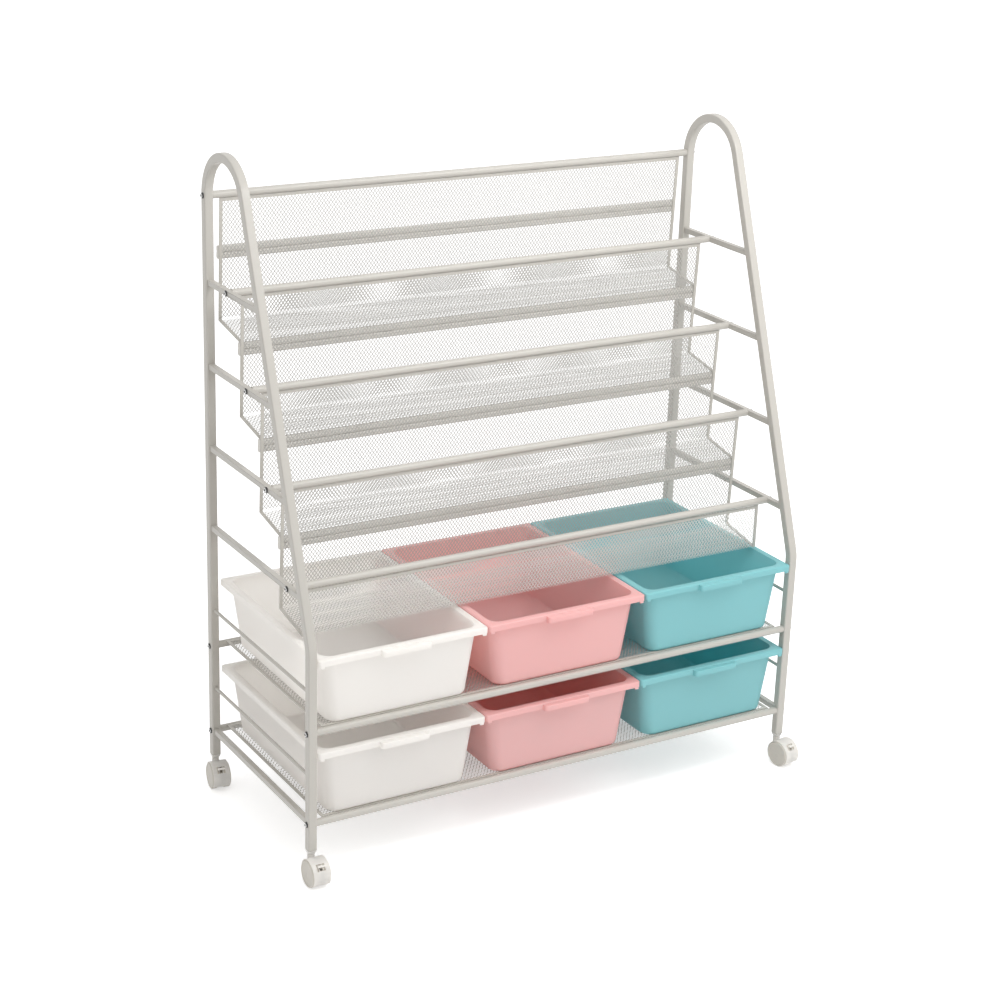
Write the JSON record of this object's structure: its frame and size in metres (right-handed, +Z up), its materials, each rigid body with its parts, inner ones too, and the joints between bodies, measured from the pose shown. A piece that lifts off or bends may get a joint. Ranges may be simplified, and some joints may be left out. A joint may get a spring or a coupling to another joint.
{
  "type": "book display rack",
  "caption": "Rolling steel rack with arched side tubes, stepped mesh pockets for face-out books and pull-out plastic bins on mesh shelves below.",
  "frame": {"origin": "middle of the bounding box at floor level", "axes": "+Z up, +X to the right seen from the front, front faces -Y"},
  "size_m": [1.0304, 0.4646, 1.183],
  "materials": {
    "frame_steel": "satin powder coat",
    "mesh_steel": "satin powder coat",
    "bolt_steel": "bright plated",
    "pin_steel": "plain",
    "caster_plastic": "semi gloss",
    "wheel_plastic": "satin",
    "bin_white": "satin",
    "bin_pink": "satin",
    "bin_teal": "satin"
  },
  "bodies": {
    "rack": {"caster_sockets": "caster_plastic", "frame_bolts": "bolt_steel", "front_lip_frame": "frame_steel", "front_lip_mesh": "mesh_steel", "guard_wires": "frame_steel", "left_rungs": "frame_steel", "left_side_tube": "frame_steel", "lower_back_rail": "frame_steel", "lower_front_rail": "frame_steel", "lower_shelf_frame": "frame_steel", "lower_shelf_mesh": "mesh_steel", "panel_1_frame": "frame_steel", "panel_1_mesh": "mesh_steel", "panel_1_strip": "frame_steel", "panel_2_frame": "frame_steel", "panel_2_mesh": "mesh_steel", "panel_2_strip": "frame_steel", "panel_3_frame": "frame_steel", "panel_3_mesh": "mesh_steel", "panel_3_strip": "frame_steel", "panel_4_frame": "frame_steel", "panel_4_mesh": "mesh_steel", "panel_4_strip": "frame_steel", "right_rungs": "frame_steel", "right_side_tube": "frame_steel", "tier_2_rail": "frame_steel", "tier_3_rail": "frame_steel", "tier_4_rail": "frame_steel", "tier_5_rail": "frame_steel", "top_rail": "frame_steel", "upper_back_rail": "frame_steel", "upper_front_rail": "frame_steel", "upper_shelf_frame": "frame_steel", "upper_shelf_mesh": "mesh_steel"},
    "upper_left_bin": {"upper_left_bin": "bin_white"},
    "upper_middle_bin": {"upper_middle_bin": "bin_pink"},
    "upper_right_bin": {"upper_right_bin": "bin_teal"},
    "lower_left_bin": {"lower_left_bin": "bin_white"},
    "lower_middle_bin": {"lower_middle_bin": "bin_pink"},
    "lower_right_bin": {"lower_right_bin": "bin_teal"},
    "front_left_swivel": {"front_left_caster_housing": "caster_plastic", "front_left_caster_stem": "pin_steel"},
    "front_left_wheel_pair": {"front_left_caster_wheels": "wheel_plastic", "front_left_caster_axle": "pin_steel"},
    "front_left_brake_lever": {"front_left_caster_brake": "caster_plastic"},
    "front_right_swivel": {"front_right_caster_housing": "caster_plastic", "front_right_caster_stem": "pin_steel"},
    "front_right_wheel_pair": {"front_right_caster_wheels": "wheel_plastic", "front_right_caster_axle": "pin_steel"},
    "front_right_brake_lever": {"front_right_caster_brake": "caster_plastic"},
    "back_left_swivel": {"back_left_caster_housing": "caster_plastic", "back_left_caster_stem": "pin_steel"},
    "back_left_wheel_pair": {"back_left_caster_wheels": "wheel_plastic", "back_left_caster_axle": "pin_steel"},
    "back_left_brake_lever": {"back_left_caster_brake": "caster_plastic"},
    "back_right_swivel": {"back_right_caster_housing": "caster_plastic", "back_right_caster_stem": "pin_steel"},
    "back_right_wheel_pair": {"back_right_caster_wheels": "wheel_plastic", "back_right_caster_axle": "pin_steel"},
    "back_right_brake_lever": {"back_right_caster_brake": "caster_plastic"}
  },
  "joints": [
    {"name": "upper_left_bin_pull", "type": "slide", "parent": "rack", "child": "upper_left_bin", "axis": [0, -1, 0], "range_m": [0, 0.3]},
    {"name": "upper_middle_bin_pull", "type": "slide", "parent": "rack", "child": "upper_middle_bin", "axis": [0, -1, 0], "range_m": [0, 0.3]},
    {"name": "upper_right_bin_pull", "type": "slide", "parent": "rack", "child": "upper_right_bin", "axis": [0, -1, 0], "range_m": [0, 0.3]},
    {"name": "lower_left_bin_pull", "type": "slide", "parent": "rack", "child": "lower_left_bin", "axis": [0, -1, 0], "range_m": [0, 0.3]},
    {"name": "lower_middle_bin_pull", "type": "slide", "parent": "rack", "child": "lower_middle_bin", "axis": [0, -1, 0], "range_m": [0, 0.3]},
    {"name": "lower_right_bin_pull", "type": "slide", "parent": "rack", "child": "lower_right_bin", "axis": [0, -1, 0], "range_m": [0, 0.3]},
    {"name": "front_left_swivel_turn", "type": "hinge", "parent": "rack", "child": "front_left_swivel", "pos_m": [-0.492, -0.18456, 0.048], "axis": [0, 0, 1], "continuous": true},
    {"name": "front_left_wheel_roll", "type": "hinge", "parent": "front_left_swivel", "child": "front_left_wheel_pair", "pos_m": [-0.492, -0.20456, 0.024], "axis": [1, 0, 0], "continuous": true},
    {"name": "front_left_brake_press", "type": "hinge", "parent": "front_left_swivel", "child": "front_left_brake_lever", "pos_m": [-0.492, -0.21056, 0.04], "axis": [1, 0, 0], "range_deg": [0, 18]},
    {"name": "front_right_swivel_turn", "type": "hinge", "parent": "rack", "child": "front_right_swivel", "pos_m": [0.492, -0.18456, 0.048], "axis": [0, 0, 1], "continuous": true},
    {"name": "front_right_wheel_roll", "type": "hinge", "parent": "front_right_swivel", "child": "front_right_wheel_pair", "pos_m": [0.49478, -0.20436, 0.024], "axis": [0.9903, 0.1392, 0], "continuous": true},
    {"name": "front_right_brake_press", "type": "hinge", "parent": "front_right_swivel", "child": "front_right_brake_lever", "pos_m": [0.49562, -0.2103, 0.04], "axis": [0.9903, 0.1392, 0], "range_deg": [0, 18]},
    {"name": "back_left_swivel_turn", "type": "hinge", "parent": "rack", "child": "back_left_swivel", "pos_m": [-0.492, 0.21644, 0.048], "axis": [0, 0, 1], "continuous": true},
    {"name": "back_left_wheel_roll", "type": "hinge", "parent": "back_left_swivel", "child": "back_left_wheel_pair", "pos_m": [-0.49478, 0.19664, 0.024], "axis": [0.9903, -0.1392, 0], "continuous": true},
    {"name": "back_left_brake_press", "type": "hinge", "parent": "back_left_swivel", "child": "back_left_brake_lever", "pos_m": [-0.49562, 0.1907, 0.04], "axis": [0.9903, -0.1392, 0], "range_deg": [0, 18]},
    {"name": "back_right_swivel_turn", "type": "hinge", "parent": "rack", "child": "back_right_swivel", "pos_m": [0.492, 0.21644, 0.048], "axis": [0, 0, 1], "continuous": true},
    {"name": "back_right_wheel_roll", "type": "hinge", "parent": "back_right_swivel", "child": "back_right_wheel_pair", "pos_m": [0.492, 0.19644, 0.024], "axis": [1, 0, 0], "continuous": true},
    {"name": "back_right_brake_press", "type": "hinge", "parent": "back_right_swivel", "child": "back_right_brake_lever", "pos_m": [0.492, 0.19044, 0.04], "axis": [1, 0, 0], "range_deg": [0, 18]}
  ]
}
